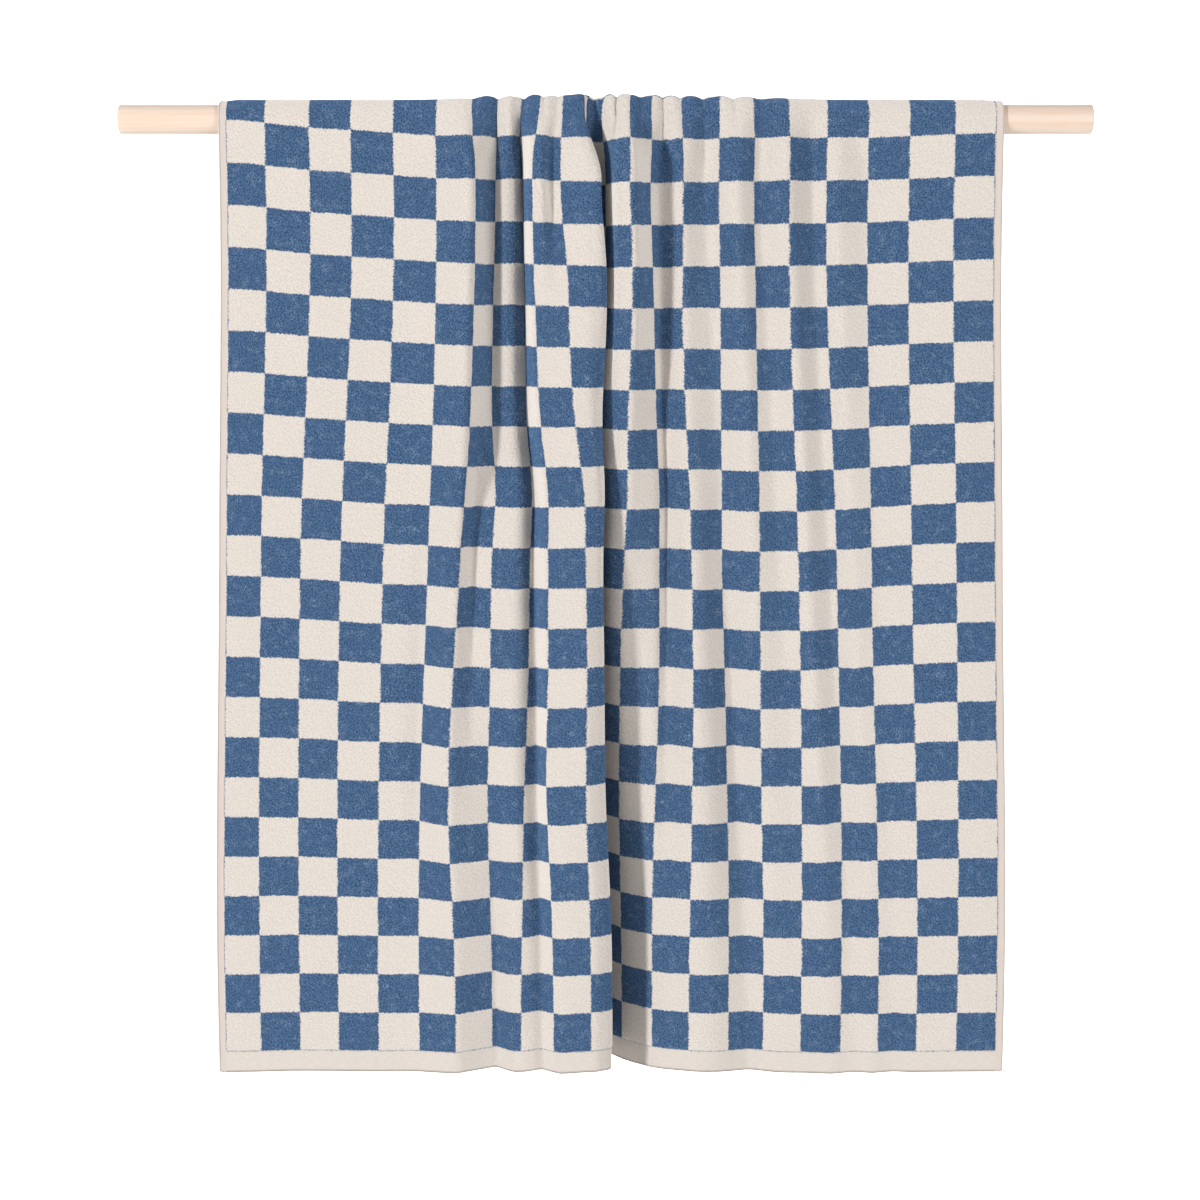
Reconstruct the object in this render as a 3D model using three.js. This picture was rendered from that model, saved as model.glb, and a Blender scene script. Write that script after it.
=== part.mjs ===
// A checked terry bath towel hung over a round wooden rod, about half of it in front and half behind.
// The towel is pinched together in its middle where it crosses the rod, so it hangs in upright folds.
// Millimetres. X runs along the rod, the front of the towel faces -Y, and Z is up.
// The origin is on the rod's axis at the middle of its length.
import * as THREE from 'three';

// Rod
const ROD_LENGTH = 679;
const ROD_DIAMETER = 20;
const ROD_SIDES = 48;

// Towel, cut size and weave
const TOWEL_WIDTH = 700;
const TOWEL_LENGTH = 1400;
const CLOTH_THICKNESS = 3;
const SIDE_HEM = 5;
const CHECKS_ACROSS = 24;
const CHECK_WIDTH = (TOWEL_WIDTH - 2 * SIDE_HEM) / CHECKS_ACROSS;

// How it hangs
const ROD_CLEARANCE = 0.5;
const FRONT_DROP = 704.5;
const BACK_DROP = TOWEL_LENGTH - FRONT_DROP;
const WRAP_RADIUS = ROD_DIAMETER / 2 + ROD_CLEARANCE + CLOTH_THICKNESS / 2;
const WRAP_LENGTH = WRAP_RADIUS * Math.PI / 2;
const GATHER_REACH = 46;
const APEX_SHARE = 0.1;
const APEX_SMOOTHING = 22;

// Heights below the rod's axis at which the fold table gives each wall's heading
const FRONT_HEIGHTS = [33, 128, 210, 300, 470, 640];
// One row for each wall between two bends of the front fall, from its left edge to its right edge.
// from, to: where the wall runs straight, in checks across the cloth. slip: how many checks the wall
// has moved sideways at the hem. turn: the wall's heading in degrees at each height above, positive
// where it comes forward as it runs to the right, and past 90 where it doubles back behind itself.
const FRONT_WALLS = [
  { name: 'left flat', from: 0.00, to: 4.55, slip: 0, turn: [0, 0, 0, 0, 0, 0] },
  { name: 'rise to the first fold', from: 5.00, to: 5.75, slip: 0, turn: [19, 23, 26, 38, 43, 14] },
  { name: 'first fold falls in', from: 6.06, to: 6.40, slip: 0, turn: [-61, -62, -60, -54, -26, -26] },
  { name: 'first valley floor', from: 6.62, to: 6.92, slip: 0, turn: [-58, -58, -50, 20, -20, -26] },
  { name: 'second fold, west side', from: 7.12, to: 7.40, slip: 0, turn: [42, 36, 24, 8, 20, 42] },
  { name: 'second fold, east side', from: 7.70, to: 7.92, slip: 0.45, turn: [-72, -54, -52, -54, -52, -40] },
  { name: 'slot beside the second fold', from: 8.10, to: 8.40, slip: 0.34, turn: [79, 77, 72, 66, 62, 40] },
  { name: 'wall behind the slot', from: 8.66, to: 8.92, slip: 0.10, turn: [79, 77, 72, 66, 60, 36] },
  { name: 'short crease, near side', from: 9.10, to: 9.20, slip: 0, turn: [50, 42, 40, 38, 20, 6] },
  { name: 'short crease, far side', from: 9.42, to: 9.56, slip: 0, turn: [-60, 18, 22, 22, 4, -4] },
  { name: 'run up to the panel edge', from: 9.80, to: 9.92, slip: 0, turn: [30, 12, 14, 14, -2, -6] },
  { name: 'panel edge starts to roll', from: 10.10, to: 10.30, slip: 0, turn: [15, 2, -12, -24, -32, -32] },
  { name: 'panel edge', from: 10.62, to: 10.74, slip: 0, turn: [-4, -22, -65, -90, -94, -97] },
  { name: 'pleat, layer running back', from: 11.10, to: 11.42, slip: 0, turn: [-156, -174, -170, -160, -141, -121] },
  { name: 'pleat, inner turn', from: 11.65, to: 11.85, slip: 0, turn: [-122, -136, -147, -154, -139, -122] },
  { name: 'pleat, layer coming out', from: 12.35, to: 12.65, slip: 0, turn: [-2, -3, -8, -18, -45, -67] },
  { name: 'out of the pleat', from: 13.15, to: 13.65, slip: 0, turn: [72, 55, 48, 54, 51, 48] },
  { name: 'third fold crest', from: 13.95, to: 14.05, slip: 0, turn: [18, 20, 22, 26, 44, 44] },
  { name: 'third fold falls away', from: 14.25, to: 14.80, slip: 0, turn: [-63, -55, -36, -20, 28, 38] },
  { name: 'second valley, west side', from: 15.05, to: 15.18, slip: 0, turn: [-54, -58, -56, -50, -22, 26] },
  { name: 'second valley, east side', from: 15.45, to: 15.70, slip: 0, turn: [26, 38, 42, 44, 28, 14] },
  { name: 'first wave falls', from: 16.00, to: 16.40, slip: 1.0, turn: [-38, -26, -30, -38, -38, -24] },
  { name: 'first wave rises', from: 16.80, to: 17.15, slip: 1.0, turn: [34, 28, 24, 20, 20, 12] },
  { name: 'second wave falls', from: 17.55, to: 17.90, slip: 1.0, turn: [-36, -32, -26, -20, -8, 0] },
  { name: 'second wave rises', from: 18.25, to: 18.60, slip: 1.0, turn: [36, 30, 26, 20, 8, 6] },
  { name: 'third wave falls', from: 18.95, to: 19.30, slip: 0.9, turn: [-32, -32, -32, -30, -26, -14] },
  { name: 'third wave rises', from: 19.65, to: 19.95, slip: 0.8, turn: [26, 26, 30, 32, 24, 12] },
  { name: 'last wave falls', from: 20.30, to: 20.70, slip: 0.6, turn: [-14, -16, -14, -12, -8, -10] },
  { name: 'last wave rises', from: 21.05, to: 21.35, slip: 0.4, turn: [8, 10, 10, 10, 8, 10] },
  { name: 'right flat', from: 21.95, to: 24.00, slip: 0, turn: [0, 0, 0, 0, 0, 0] },
];

// The same for the back fall, whose folds are rounder. Positive headings go away from the rod there too.
const BACK_HEIGHTS = [33, 300, 640];
const BACK_WALLS = [
  { name: 'left flat', from: 0.0, to: 4.5, slip: 0, turn: [0, 0, 0] },
  { name: 'first fold out', from: 5.1, to: 5.6, slip: 0.2, turn: [50, 42, 34] },
  { name: 'first fold in', from: 6.3, to: 6.8, slip: 0.3, turn: [-56, -46, -36] },
  { name: 'second fold out', from: 7.5, to: 8.1, slip: 0.3, turn: [62, 56, 42] },
  { name: 'second fold in', from: 8.8, to: 9.4, slip: 0.2, turn: [-66, -60, -48] },
  { name: 'third fold out', from: 10.1, to: 10.8, slip: 0, turn: [70, 70, 66] },
  { name: 'third fold in', from: 11.5, to: 12.3, slip: 0, turn: [-72, -72, -68] },
  { name: 'fourth fold out', from: 13.0, to: 13.7, slip: -0.2, turn: [68, 64, 56] },
  { name: 'fourth fold in', from: 14.4, to: 15.0, slip: -0.2, turn: [-64, -58, -48] },
  { name: 'fifth fold out', from: 15.7, to: 16.3, slip: 0, turn: [54, 46, 38] },
  { name: 'fifth fold in', from: 17.0, to: 17.6, slip: 0.2, turn: [-50, -40, -32] },
  { name: 'sixth fold out', from: 18.3, to: 18.8, slip: 0.3, turn: [42, 32, 24] },
  { name: 'sixth fold in', from: 19.5, to: 20.0, slip: 0.3, turn: [-38, -28, -20] },
  { name: 'right flat', from: 21.0, to: 24.0, slip: 0, turn: [0, 0, 0] },
];

// Where the towel's side edges hang, along the rod, at heights below its axis
const LEFT_EDGE = [
  { below: 33, front: -268.2, back: -266.0 },
  { below: 300, front: -274.5, back: -269.0 },
  { below: 640, front: -283.0, back: -272.0 },
];
const RIGHT_EDGE = [
  { below: 33, front: 275.6, back: 273.5 },
  { below: 300, front: 282.0, back: 276.0 },
  { below: 640, front: 291.0, back: 279.0 },
];
// How far the gathered part stands off the plane of the flat parts, so that its valleys clear the rod
const STAND_OFF = [
  { below: 33, front: 17, back: 2 },
  { below: 100, front: 11, back: 3 },
  { below: 250, front: 4, back: 8 },
  { below: 640, front: -1, back: 33 },
];
// How far the cloth has slid forward over the rod at places across it, in checks. The columns are at the
// distances down the front fall that come first; the back fall follows the first column.
const SAG_REACH = [20, 340, 690];
const SAGS = [
  { place: 0, top: 1, middle: -1.5, hem: 0.5 },
  { place: 2, top: 6, middle: 0.8, hem: -0.5 },
  { place: 4, top: 9.5, middle: 4.5, hem: 0 },
  { place: 6, top: 13.5, middle: 4.8, hem: -0.5 },
  { place: 8, top: 12.5, middle: 6.5, hem: -1 },
  { place: 10, top: 16, middle: 3, hem: -3.5 },
  { place: 12.5, top: 17, middle: 4, hem: -1 },
  { place: 14, top: 17, middle: 6.2, hem: 0.5 },
  { place: 16, top: 15.5, middle: 7, hem: -1 },
  { place: 18, top: 14.5, middle: 9.5, hem: 1.5 },
  { place: 20, top: 13.5, middle: 8.8, hem: 1.5 },
  { place: 22, top: 12, middle: 5, hem: 0.5 },
  { place: 24, top: 10, middle: 3, hem: 0 },
];
// Where the gathered part starts and ends, in checks
const GATHER_START = 4.6;
const GATHER_END = 21.5;

// Mesh grid: rows down the falls, as distances from the line over the top of the rod
const WRAP_STEP = WRAP_LENGTH / 4;
const FRONT_WRAP_STEPS = 4;
const BACK_WRAP_STEPS = 7;
const FRONT_ROWS = [26, 36, 50, 72, 105, 150, 205, 280, 365, 450, 540, 625, FRONT_DROP];
const BACK_ROWS = [38, 60, 100, 170, 270, 390, 530, BACK_DROP];
// Mesh grid: columns across the cloth, as runs of equal steps between two places in checks
const COLUMN_RUNS = [
  { to: 4.55, steps: 6 },
  { to: 5.9, steps: 4 },
  { to: 9.9, steps: 20 },
  { to: 10.62, steps: 4 },
  { to: 13.15, steps: 18 },
  { to: 15.7, steps: 12 },
  { to: 21.6, steps: 19 },
  { to: CHECKS_ACROSS, steps: 5 },
];
const FINE_STEP = 0.5;

const clamp = (value, low, high) => Math.min(Math.max(value, low), high);
const smooth = (value) => {
  const share = clamp(value, 0, 1);
  return share * share * (3 - 2 * share);
};
const mix = (a, b, share) => a * (1 - share) + b * share;
const radians = (degrees) => degrees * Math.PI / 180;

// Where a height lies between the given heights: the lower index and the share of the way to the next
function between(heights, below) {
  let index = 0;
  while (index < heights.length - 2 && below > heights[index + 1]) index += 1;
  const share = clamp((below - heights[index]) / (heights[index + 1] - heights[index]), 0, 1);
  return { index, share };
}

// The value at a height on a smooth curve through the values at the given heights
function curve(heights, values, below) {
  const { index, share } = between(heights, below);
  const last = heights.length - 1;
  const slope = (k) => {
    if (k === 0 || k === last) return 0;
    return (values[k + 1] - values[k - 1]) / (heights[k + 1] - heights[k - 1]);
  };
  const span = heights[index + 1] - heights[index];
  const bend = span * share * (1 - share);
  const lift = slope(index) * (1 - share) - slope(index + 1) * share;
  return mix(values[index], values[index + 1], smooth(share)) + bend * lift;
}

// A value from a table with a column 'below' for height
function fromTable(table, column, below) {
  return curve(table.map((row) => row.below), table.map((row) => row[column]), below);
}

// The walls of one fall at one height: where each runs, and its heading in radians
function wallsAt(walls, heights, below) {
  const toHem = clamp((below - heights[0]) / (heights[heights.length - 1] - heights[0]), 0, 1.05);
  return walls.map((wall) => ({
    from: wall.from + wall.slip * toHem,
    to: wall.to + wall.slip * toHem,
    heading: radians(curve(heights, wall.turn, below)),
  }));
}

// The heading at a place across the cloth: straight on a wall, eased from one wall to the next
function headingAt(walls, checks) {
  for (let k = 0; k < walls.length - 1; k += 1) {
    if (checks <= walls[k].to) return walls[k].heading;
    if (checks < walls[k + 1].from) {
      const share = (checks - walls[k].to) / (walls[k + 1].from - walls[k].to);
      return mix(walls[k].heading, walls[k + 1].heading, smooth(share));
    }
  }
  return walls[walls.length - 1].heading;
}

// A level cut through one fall: walks across the cloth along its heading, which keeps its width,
// and gives the place along the rod (x) and the distance out from the flat parts (out) at each step
function levelCut(side, below) {
  const isFront = side === 'front';
  const walls = wallsAt(isFront ? FRONT_WALLS : BACK_WALLS, isFront ? FRONT_HEIGHTS : BACK_HEIGHTS, below);
  const count = Math.round(TOWEL_WIDTH / FINE_STEP);
  const x = [fromTable(LEFT_EDGE, side, below)];
  const out = [0];
  for (let k = 1; k <= count; k += 1) {
    const checks = ((k - 0.5) * FINE_STEP - SIDE_HEM) / CHECK_WIDTH;
    const heading = headingAt(walls, checks);
    x.push(x[k - 1] + FINE_STEP * Math.cos(heading));
    out.push(out[k - 1] + FINE_STEP * Math.sin(heading));
  }
  const drift = out[count];
  const widen = fromTable(RIGHT_EDGE, side, below) - x[count];
  const stand = fromTable(STAND_OFF, side, below);
  for (let k = 0; k <= count; k += 1) {
    const checks = (k * FINE_STEP - SIDE_HEM) / CHECK_WIDTH;
    const ramp = smooth((checks - GATHER_START) / (GATHER_END - GATHER_START));
    const gathered = smooth((checks - GATHER_START) / 2) * smooth((GATHER_END - checks) / 4);
    out[k] += stand * gathered - drift * ramp;
    x[k] += widen * ramp;
  }
  return { x, out };
}

// The cut over the top of the rod: the places of the highest cut, evened out so that no layer overlaps
function apexCut(cut) {
  const reach = Math.round(APEX_SMOOTHING / FINE_STEP);
  const even = (values) => {
    const sums = [0];
    for (const value of values) sums.push(sums[sums.length - 1] + value);
    return values.map((value, k) => {
      const width = Math.min(reach, k, values.length - 1 - k);
      return (sums[k + width + 1] - sums[k - width]) / (2 * width + 1);
    });
  };
  return { x: even(even(cut.x)), out: even(cut.out).map((value) => Math.max(value, 0) * APEX_SHARE) };
}

// Small gathers that stand up where the pinched cloth crosses the rod
function topGathers(checks, along) {
  const window = smooth((checks - 5.2) / 2) * smooth((19.5 - checks) / 3);
  const fade = 1 - smooth(along / 70);
  const wave = Math.sin(2 * Math.PI * checks / 1.02) + 0.5 * Math.sin(2 * Math.PI * checks / 1.63 + 1);
  return window * fade * (1.3 + 0.9 * wave);
}

// How far the cloth has slid forward over the rod: the table is read across the cloth, then down it
function slide(checks, along) {
  const places = SAGS.map((row) => row.place);
  const down = ['top', 'middle', 'hem'].map((name) => curve(places, SAGS.map((row) => row[name]), checks));
  return curve(SAG_REACH, down, along);
}

// A point of the cloth's middle layer, from its place across (index of the fine step) and along it
function clothPoint(cuts, k, checks, along) {
  const sign = along >= 0 ? 1 : -1;
  const path = sign * (along + slide(checks, along));
  const x = cuts.x[k];
  const out = WRAP_RADIUS + cuts.out[k] + topGathers(checks, Math.abs(along));
  if (path < WRAP_LENGTH) {
    const angle = path / WRAP_RADIUS;
    return new THREE.Vector3(x, -sign * out * Math.sin(angle), out * Math.cos(angle));
  }
  return new THREE.Vector3(x, -sign * out, WRAP_LENGTH - path);
}

// The cut that holds at a distance along the cloth, blended over the rod from the evened-out one
function cutAlong(along) {
  const side = along >= 0 ? 'front' : 'back';
  const distance = Math.abs(along);
  const below = Math.max(distance - WRAP_LENGTH, FRONT_HEIGHTS[0]);
  const own = levelCut(side, below);
  const share = smooth(distance / GATHER_REACH);
  if (share >= 1) return own;
  const top = apexCut(levelCut('front', FRONT_HEIGHTS[0]));
  return {
    x: own.x.map((value, k) => mix(top.x[k], value, share)),
    out: own.out.map((value, k) => mix(top.out[k], Math.max(value, 0), share)),
  };
}

// A closed sheet of even thickness from a grid of points on its middle layer and their normals
function sheetGeometry(points, normals, thickness) {
  const rows = points.length;
  const columns = points[0].length;
  const positions = [];
  for (const side of [0.5, -0.5]) {
    for (let r = 0; r < rows; r += 1) {
      for (let c = 0; c < columns; c += 1) {
        const point = points[r][c].clone().addScaledVector(normals[r][c], side * thickness);
        positions.push(point.x, point.y, point.z);
      }
    }
  }
  const outer = (r, c) => r * columns + c;
  const inner = (r, c) => rows * columns + r * columns + c;
  const faces = [];
  const quad = (a, b, c, d) => faces.push(a, b, c, a, c, d);
  for (let r = 0; r < rows - 1; r += 1) {
    for (let c = 0; c < columns - 1; c += 1) {
      quad(outer(r, c), outer(r + 1, c), outer(r + 1, c + 1), outer(r, c + 1));
      quad(inner(r, c), inner(r, c + 1), inner(r + 1, c + 1), inner(r + 1, c));
    }
    quad(outer(r, 0), inner(r, 0), inner(r + 1, 0), outer(r + 1, 0));
    quad(outer(r, columns - 1), outer(r + 1, columns - 1), inner(r + 1, columns - 1), inner(r, columns - 1));
  }
  for (let c = 0; c < columns - 1; c += 1) {
    quad(outer(0, c), outer(0, c + 1), inner(0, c + 1), inner(0, c));
    quad(outer(rows - 1, c), inner(rows - 1, c), inner(rows - 1, c + 1), outer(rows - 1, c + 1));
  }
  const geometry = new THREE.BufferGeometry();
  geometry.setAttribute('position', new THREE.Float32BufferAttribute(positions, 3));
  geometry.setIndex(faces);
  geometry.computeVertexNormals();
  return geometry;
}

// The grid's columns, as indices of the fine steps across the cloth
function columnIndices() {
  const places = [0];
  let start = 0;
  for (const run of COLUMN_RUNS) {
    for (let k = 1; k <= run.steps; k += 1) {
      places.push(SIDE_HEM + CHECK_WIDTH * mix(start, run.to, k / run.steps));
    }
    start = run.to;
  }
  places.push(TOWEL_WIDTH);
  return places.map((place) => Math.round(place / FINE_STEP));
}

function towelMesh() {
  const wrap = (steps) => Array.from({ length: steps }, (_, k) => WRAP_STEP * (k + 1));
  const back = [...wrap(BACK_WRAP_STEPS), ...BACK_ROWS].map((value) => -value).reverse();
  const alongs = [...back, 0, ...wrap(FRONT_WRAP_STEPS), ...FRONT_ROWS];
  const columns = columnIndices();
  const points = [];
  const normals = [];
  const nudge = 0.5;
  for (const along of alongs) {
    const shift = along >= 0 && along + nudge <= FRONT_DROP ? nudge : -nudge;
    const cuts = cutAlong(along);
    const nextCuts = cutAlong(along + shift);
    const rowPoints = [];
    const rowNormals = [];
    for (const k of columns) {
      const checks = (k * FINE_STEP - SIDE_HEM) / CHECK_WIDTH;
      const point = clothPoint(cuts, k, checks, along);
      const next = clothPoint(nextCuts, k, checks, along + shift);
      const left = Math.max(k - 1, 0);
      const right = Math.min(k + 1, cuts.x.length - 1);
      const checkStep = FINE_STEP / CHECK_WIDTH;
      const leftPoint = clothPoint(cuts, left, checks - checkStep, along);
      const rightPoint = clothPoint(cuts, right, checks + checkStep, along);
      const across = rightPoint.sub(leftPoint);
      const down = next.sub(point).multiplyScalar(shift);
      rowPoints.push(point);
      rowNormals.push(down.cross(across).normalize());
    }
    points.push(rowPoints);
    normals.push(rowNormals);
  }
  const material = new THREE.MeshStandardMaterial({ color: 0x9fa9b6, roughness: 0.95, metalness: 0 });
  const mesh = new THREE.Mesh(sheetGeometry(points, normals, CLOTH_THICKNESS), material);
  mesh.name = 'towel';
  return mesh;
}

function rodMesh() {
  const geometry = new THREE.CylinderGeometry(ROD_DIAMETER / 2, ROD_DIAMETER / 2, ROD_LENGTH, ROD_SIDES);
  const material = new THREE.MeshStandardMaterial({ color: 0xf0d9b8, roughness: 0.6, metalness: 0 });
  const mesh = new THREE.Mesh(geometry, material);
  mesh.rotation.z = Math.PI / 2;
  mesh.name = 'rod';
  return mesh;
}

const model = new THREE.Group();
model.add(rodMesh());
model.add(towelMesh());

export default model;
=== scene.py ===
# %% [markdown]
# A bath towel over a wooden rod
#
# The object is one terry towel, 70 by 140 cm, checked in slate blue and cream. It hangs over a plain
# round rod with about half of it in front. The towel is pinched together where it crosses the rod, so folds
# run down from there, and one deep pleat right of the middle runs all the way to the hem.
#
# The lesson builds the cloth from level cuts. Each cut walks across the cloth at one height and turns by
# the headings in a short table. A walk keeps its own length, so the cloth is never stretched by its folds.

from collections import namedtuple

import bpy
import numpy as np
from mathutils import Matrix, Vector


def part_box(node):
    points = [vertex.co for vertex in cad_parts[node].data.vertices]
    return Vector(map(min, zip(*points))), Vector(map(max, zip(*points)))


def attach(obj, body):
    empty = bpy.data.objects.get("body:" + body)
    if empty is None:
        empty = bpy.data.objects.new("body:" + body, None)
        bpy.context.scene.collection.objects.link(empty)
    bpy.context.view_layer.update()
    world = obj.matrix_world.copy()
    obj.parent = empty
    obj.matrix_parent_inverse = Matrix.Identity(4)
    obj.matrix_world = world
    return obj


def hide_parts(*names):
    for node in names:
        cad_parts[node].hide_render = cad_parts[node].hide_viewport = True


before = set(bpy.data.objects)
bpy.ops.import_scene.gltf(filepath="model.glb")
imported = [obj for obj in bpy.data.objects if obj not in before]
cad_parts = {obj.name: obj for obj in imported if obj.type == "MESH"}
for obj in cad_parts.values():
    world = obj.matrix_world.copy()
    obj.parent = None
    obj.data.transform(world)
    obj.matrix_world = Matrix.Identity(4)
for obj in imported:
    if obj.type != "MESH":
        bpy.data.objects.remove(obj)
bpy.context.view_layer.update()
MM = 0.001

# %% [markdown]
# Sizes first. The towel has 24 squares across between two narrow side hems, and flat woven end hems.
# Heights are measured down from the rod's axis, and places on the cloth are measured along it from the
# line over the top of the rod: positive down the front fall, negative down the back fall. Across the cloth,
# the shape is worked out at every half millimetre, and the mesh takes only some of those places.

# %% Sizes of the cloth and the rod
rod_low, rod_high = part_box("rod")
ROD_RADIUS = (rod_high.z - rod_low.z) / 2
ROD_LENGTH = rod_high.x - rod_low.x
TOWEL_WIDTH = 700 * MM
TOWEL_LENGTH = 1400 * MM
CHECKS_ACROSS = 24
SIDE_HEM = 5 * MM
END_HEM = 15.3 * MM
CHECK_WIDTH = (TOWEL_WIDTH - 2 * SIDE_HEM) / CHECKS_ACROSS
CHECK_LENGTH = 29.12 * MM
FRONT_DROP = 704.5 * MM
BACK_DROP = TOWEL_LENGTH - FRONT_DROP
CLOTH_OFF_ROD = 2 * MM
WRAP_RADIUS = ROD_RADIUS + CLOTH_OFF_ROD
WRAP_LENGTH = WRAP_RADIUS * np.pi / 2
FINE_STEP = 0.5 * MM
FINE_COUNT = round(TOWEL_WIDTH / FINE_STEP)
PLACES = np.arange(FINE_COUNT + 1) * FINE_STEP
CHECKS = (PLACES - SIDE_HEM) / CHECK_WIDTH
print(f"rod {ROD_LENGTH / MM:.0f} mm long and {2 * ROD_RADIUS / MM:.0f} mm thick")
print(f"one square is {CHECK_WIDTH / MM:.2f} mm wide and {CHECK_LENGTH / MM:.2f} mm high")

# %% [markdown]
# The folds are the towel's character. A cloth simulation would drape a towel too, but not with these folds,
# so they are listed. Between two bends the cloth runs straight, as a wall. Each row of the table is one
# wall: where it starts and ends in checks across the cloth, how many checks it moves sideways on its way to
# the hem, and its heading in degrees at six heights. With a positive heading, the cloth comes outwards as it
# runs to the right. Past 90 degrees it doubles back behind itself, which makes the deep pleat.

# %% The walls between the folds
Wall = namedtuple("Wall", "name start end slip turn")
FRONT_HEIGHTS = np.array([33, 128, 210, 300, 470, 640]) * MM
FRONT_WALLS = [
    Wall("left flat", 0.00, 4.55, 0, (0, 0, 0, 0, 0, 0)),
    Wall("rise to the first fold", 5.00, 5.75, 0, (19, 23, 26, 38, 43, 14)),
    Wall("first fold falls in", 6.06, 6.40, 0, (-61, -62, -60, -54, -26, -26)),
    Wall("first valley floor", 6.62, 6.92, 0, (-58, -58, -50, 20, -20, -26)),
    Wall("second fold, left side", 7.12, 7.40, 0, (42, 36, 24, 8, 20, 42)),
    Wall("second fold, right side", 7.70, 7.92, 0.30, (-72, -54, -52, -46, -24, -18)),
    Wall("slot beside the second fold", 8.10, 8.36, 0.40, (79, 77, 72, 69, 69, 48)),
    Wall("wall behind the slot", 8.66, 8.92, 0.10, (79, 77, 72, 69, 67, 44)),
    Wall("short crease, near side", 9.10, 9.20, 0, (50, 42, 40, 38, 20, 6)),
    Wall("short crease, far side", 9.42, 9.56, 0, (-60, 18, 22, 22, 4, -4)),
    Wall("run up to the panel edge", 9.80, 9.92, 0, (30, 12, 14, 14, -2, -6)),
    Wall("panel edge starts to roll", 10.10, 10.30, 0, (15, 2, -12, -24, -32, -32)),
    Wall("panel edge", 10.62, 10.74, 0, (-4, -22, -65, -90, -94, -97)),
    Wall("pleat, layer running back", 11.10, 11.42, 0, (-156, -174, -170, -160, -141, -121)),
    Wall("pleat, inner turn", 11.65, 11.85, 0, (-122, -136, -147, -154, -139, -122)),
    Wall("pleat, layer coming out", 12.35, 12.65, 0, (-2, -3, -8, -18, -45, -67)),
    Wall("out of the pleat", 13.15, 13.65, 0, (72, 55, 48, 54, 51, 48)),
    Wall("third fold crest", 13.95, 14.05, 0, (18, 20, 22, 26, 44, 44)),
    Wall("third fold falls away", 14.25, 14.80, 0, (-63, -55, -36, -20, 28, 38)),
    Wall("second valley, left side", 15.05, 15.18, 0, (-54, -58, -56, -50, -22, 26)),
    Wall("second valley, right side", 15.45, 15.70, 0, (26, 38, 42, 44, 28, 14)),
    Wall("first wave falls", 16.00, 16.40, 1.0, (-38, -26, -30, -38, -38, -24)),
    Wall("first wave rises", 16.80, 17.15, 1.0, (34, 28, 24, 20, 20, 12)),
    Wall("second wave falls", 17.55, 17.90, 1.0, (-36, -32, -26, -20, -8, 0)),
    Wall("second wave rises", 18.25, 18.60, 1.0, (36, 30, 26, 20, 8, 6)),
    Wall("third wave falls", 18.95, 19.30, 0.9, (-32, -32, -32, -30, -26, -14)),
    Wall("third wave rises", 19.65, 19.95, 0.8, (26, 26, 30, 32, 24, 12)),
    Wall("last wave falls", 20.30, 20.70, 0.6, (-14, -16, -14, -12, -8, -10)),
    Wall("last wave rises", 21.05, 21.35, 0.4, (8, 10, 10, 10, 8, 10)),
    Wall("right flat", 21.95, 24.00, 0, (0, 0, 0, 0, 0, 0)),
]
BACK_HEIGHTS = np.array([33, 300, 640]) * MM
BACK_WALLS = [
    Wall("left flat", 0.0, 4.5, 0, (0, 0, 0)),
    Wall("first fold out", 5.1, 5.6, 0.2, (50, 42, 34)),
    Wall("first fold in", 6.3, 6.8, 0.3, (-56, -46, -36)),
    Wall("second fold out", 7.5, 8.1, 0.3, (62, 56, 42)),
    Wall("second fold in", 8.8, 9.4, 0.2, (-66, -60, -48)),
    Wall("third fold out", 10.1, 10.8, 0, (70, 70, 66)),
    Wall("third fold in", 11.5, 12.3, 0, (-72, -72, -68)),
    Wall("fourth fold out", 13.0, 13.7, -0.2, (68, 64, 56)),
    Wall("fourth fold in", 14.4, 15.0, -0.2, (-64, -58, -48)),
    Wall("fifth fold out", 15.7, 16.3, 0, (54, 46, 38)),
    Wall("fifth fold in", 17.0, 17.6, 0.2, (-50, -40, -32)),
    Wall("sixth fold out", 18.3, 18.8, 0.3, (42, 32, 24)),
    Wall("sixth fold in", 19.5, 20.0, 0.3, (-38, -28, -20)),
    Wall("right flat", 21.0, 24.0, 0, (0, 0, 0)),
]
FALLS = {"front": (FRONT_WALLS, FRONT_HEIGHTS), "back": (BACK_WALLS, BACK_HEIGHTS)}
print(len(FRONT_WALLS), "walls in front,", len(BACK_WALLS), "behind")

# %% [markdown]
# A few more rows, in millimetres, say where the side edges hang and how far the gathered middle stands out.
# A value between two heights comes from a smooth curve through the table, so no fold has a kink on its way
# down. The gathered part is a span across the cloth, in checks, with soft ends.

# %% Edges, stand-off and the smooth curve through a table
Edge = namedtuple("Edge", "below front back")
LEFT_EDGE = [Edge(33, -268.2, -266.0), Edge(300, -274.5, -269.0), Edge(640, -283.0, -272.0)]
RIGHT_EDGE = [Edge(33, 275.6, 273.5), Edge(300, 282.0, 276.0), Edge(640, 291.0, 279.0)]
STAND_OFF = [Edge(33, 17, 2), Edge(100, 11, 3), Edge(250, 4, 8), Edge(640, -1, 33)]
Span = namedtuple("Span", "start end ease_in ease_out")
GATHERED = Span(4.6, 21.5, 2, 4)


def smooth(value):
    """Eases from 0 to 1: three times the square less twice the cube, held to 0 and 1 outside."""
    share = np.clip(value, 0, 1)
    return share * share * (3 - 2 * share)


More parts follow.
